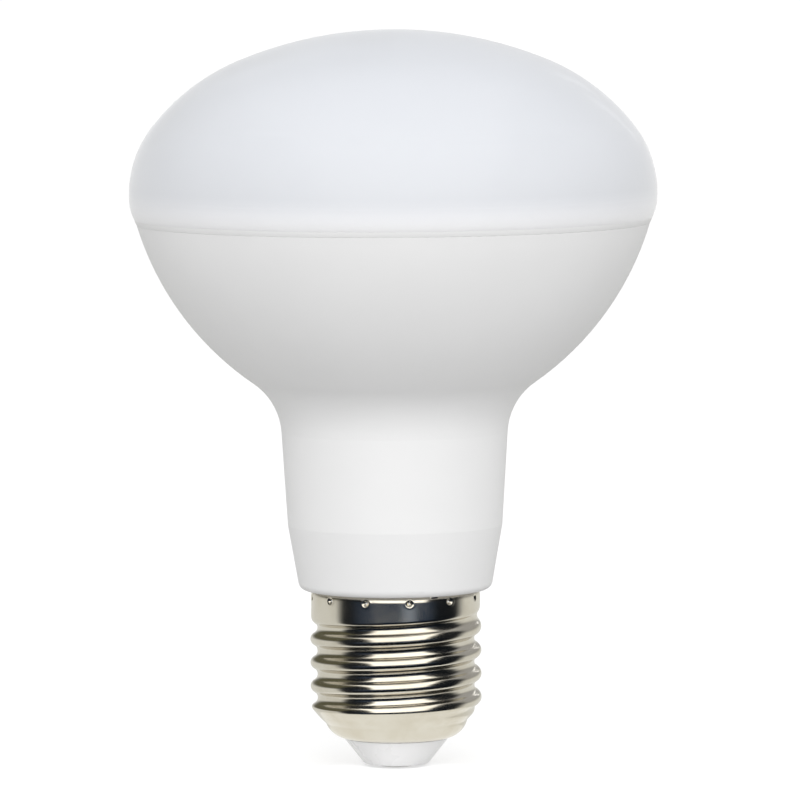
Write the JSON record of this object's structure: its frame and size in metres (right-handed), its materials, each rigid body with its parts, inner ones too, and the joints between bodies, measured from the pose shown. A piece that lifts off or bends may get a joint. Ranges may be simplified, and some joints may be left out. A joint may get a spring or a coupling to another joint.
{
  "type": "reflector bulb",
  "caption": "Screw-cap reflector lamp with a milky domed diffuser, a white bowl that tapers into a neck, and a rolled metal cap with a round thread.",
  "frame": {"origin": "on the axis, at the flat tip of the centre contact", "axes": "+Z along the axis, from the centre contact to the top of the dome; the thread's ridge crosses +X at the heights the source gives"},
  "size_m": [0.081, 0.081, 0.1134],
  "materials": {
    "milky_diffuser": "milky glossy polycarbonate",
    "white_housing": "moulded matte white",
    "nickel_shell": "bright nickel plate on thin rolled sheet",
    "insulator": "smooth moulded white",
    "contact_metal": "dull tinned metal",
    "spreader": "pressed bare sheet",
    "light_board": "white solder mask on a metal core",
    "screws": "zinc plated",
    "connector": "moulded",
    "pins": "plated square pins",
    "driver_board": "glass fibre laminate with green mask",
    "capacitor_can": "sleeved can",
    "film_capacitor": "dipped epoxy",
    "ferrite": "sintered ferrite",
    "winding": "enamelled copper wire",
    "resistor": "flameproof coating",
    "packages": "moulded epoxy",
    "leads": "tinned copper wire",
    "light_package": "white package with yellow phosphor"
  },
  "bodies": {
    "root": {"diffuser": "milky_diffuser", "housing": "white_housing", "screw_shell": "nickel_shell", "insulator": "insulator", "centre_contact": "contact_metal", "heat_spreader": "spreader", "led_board": "light_board", "board_screws": "screws", "led_socket": "connector", "output_pins": "pins", "output_header": "connector", "driver_board": "driver_board", "electrolytic_capacitor": "capacitor_can", "film_capacitor": "film_capacitor", "choke_core": "ferrite", "choke_winding": "winding", "fuse_resistor": "resistor", "bridge_rectifier": "packages", "driver_chip": "packages", "output_diode": "packages", "live_lead": "leads", "neutral_lead": "leads", "led_01": "light_package", "led_02": "light_package", "led_03": "light_package", "led_04": "light_package", "led_05": "light_package", "led_06": "light_package", "led_07": "light_package", "led_08": "light_package", "led_09": "light_package", "led_10": "light_package", "led_11": "light_package", "led_12": "light_package", "led_13": "light_package", "led_14": "light_package", "led_15": "light_package", "led_16": "light_package"}
  },
  "joints": []
}
